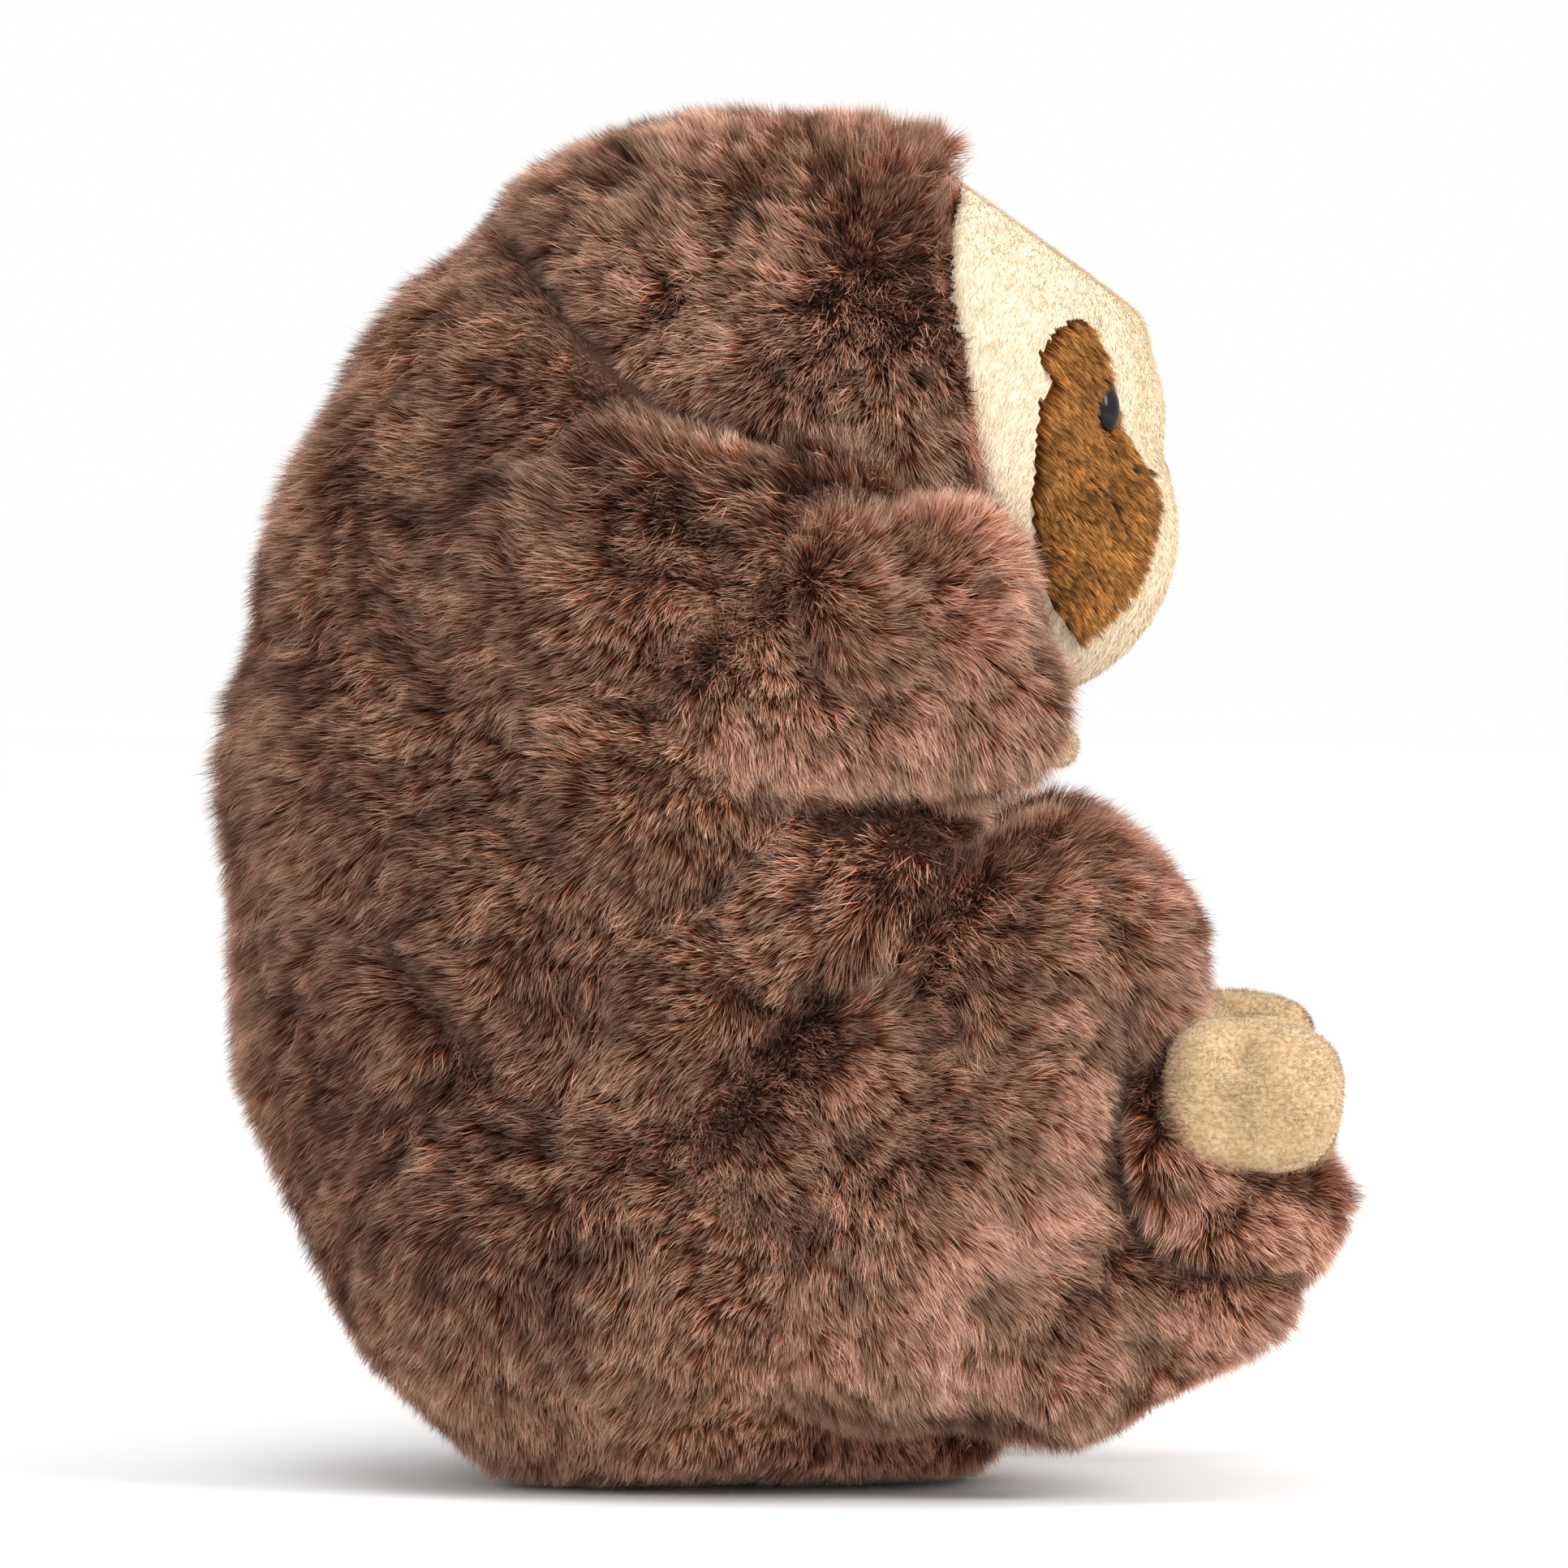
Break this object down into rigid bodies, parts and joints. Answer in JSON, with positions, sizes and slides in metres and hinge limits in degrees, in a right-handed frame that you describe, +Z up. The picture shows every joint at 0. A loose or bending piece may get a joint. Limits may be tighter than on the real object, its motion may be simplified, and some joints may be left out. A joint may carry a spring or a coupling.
{
  "type": "stuffed sloth",
  "caption": "Seated plush sloth with a fur-hooded head, short-pile face with eye patches, bead eyes and knit claws; head, arms and legs flex at their seams.",
  "frame": {"origin": "middle of the base, on the surface that the toy sits on", "axes": "+Z up, the toy faces -Y, its left side is +X"},
  "size_m": [0.164, 0.2026, 0.2427],
  "materials": {
    "brown_fur": "long dense pile, combed, two-tone brown",
    "cream_plush": "short soft pile",
    "patch_plush": "short combed pile",
    "claw_knit": "ribbed brushed knit",
    "filling": "white fibre wadding",
    "pouch_cloth": "plain cotton",
    "pellets": "small beads",
    "thread": "twisted polyester thread",
    "eye_bead": "polished black",
    "nose_bead": "satin dark brown",
    "washer": "moulded white"
  },
  "bodies": {
    "torso": {"back_left": "brown_fur", "back_right": "brown_fur", "belly_panel": "brown_fur", "base_panel": "brown_fur", "body_stuffing": "filling", "pellet_pouch": "pouch_cloth", "pellets": "pellets", "closing_seam": "thread"},
    "neck": {"neck_stuffing": "filling"},
    "head": {"hood_left": "brown_fur", "hood_right": "brown_fur", "face_panel": "cream_plush", "eye_patch_left": "patch_plush", "eye_patch_right": "patch_plush", "eye_left": "eye_bead", "eye_right": "eye_bead", "eye_washer_left": "washer", "eye_washer_right": "washer", "nose": "nose_bead", "nose_washer": "washer", "head_stuffing": "filling"},
    "arm_left": {"arm_left_outer": "brown_fur", "arm_left_inner": "brown_fur", "arm_left_stuffing": "filling", "hand_claws_left": "claw_knit"},
    "arm_right": {"arm_right_outer": "brown_fur", "arm_right_inner": "brown_fur", "arm_right_stuffing": "filling", "hand_claws_right": "claw_knit"},
    "leg_left": {"leg_left_outer": "brown_fur", "leg_left_inner": "brown_fur", "leg_left_stuffing": "filling", "foot_left_cover": "brown_fur", "foot_left_stuffing": "filling", "toes_left": "claw_knit"},
    "leg_right": {"leg_right_outer": "brown_fur", "leg_right_inner": "brown_fur", "leg_right_stuffing": "filling", "foot_right_cover": "brown_fur", "foot_right_stuffing": "filling", "toes_right": "claw_knit"}
  },
  "joints": [
    {"name": "neck_nod", "type": "hinge", "parent": "torso", "child": "neck", "pos_m": [0, -0.006, 0.188], "axis": [1, 0, 0], "range_deg": [-8, 8], "stiffness_Nm_per_rad": 0.3},
    {"name": "neck_turn", "type": "hinge", "parent": "neck", "child": "head", "pos_m": [0, -0.006, 0.188], "axis": [0, 0, 1], "range_deg": [-10, 10], "stiffness_Nm_per_rad": 0.1},
    {"name": "left_arm_open", "type": "hinge", "parent": "torso", "child": "arm_left", "pos_m": [0.059, 0.008, 0.13907], "axis": [0, 0, 1], "range_deg": [0, 35], "stiffness_Nm_per_rad": 0.03},
    {"name": "right_arm_open", "type": "hinge", "parent": "torso", "child": "arm_right", "pos_m": [-0.059, 0.008, 0.13907], "axis": [0, 0, -1], "range_deg": [0, 35], "stiffness_Nm_per_rad": 0.03},
    {"name": "left_leg_splay", "type": "hinge", "parent": "torso", "child": "leg_left", "pos_m": [0.044, -0.016, 0.048], "axis": [0, 0, 1], "range_deg": [0, 25], "stiffness_Nm_per_rad": 0.05},
    {"name": "right_leg_splay", "type": "hinge", "parent": "torso", "child": "leg_right", "pos_m": [-0.044, -0.016, 0.048], "axis": [0, 0, -1], "range_deg": [0, 25], "stiffness_Nm_per_rad": 0.05}
  ]
}
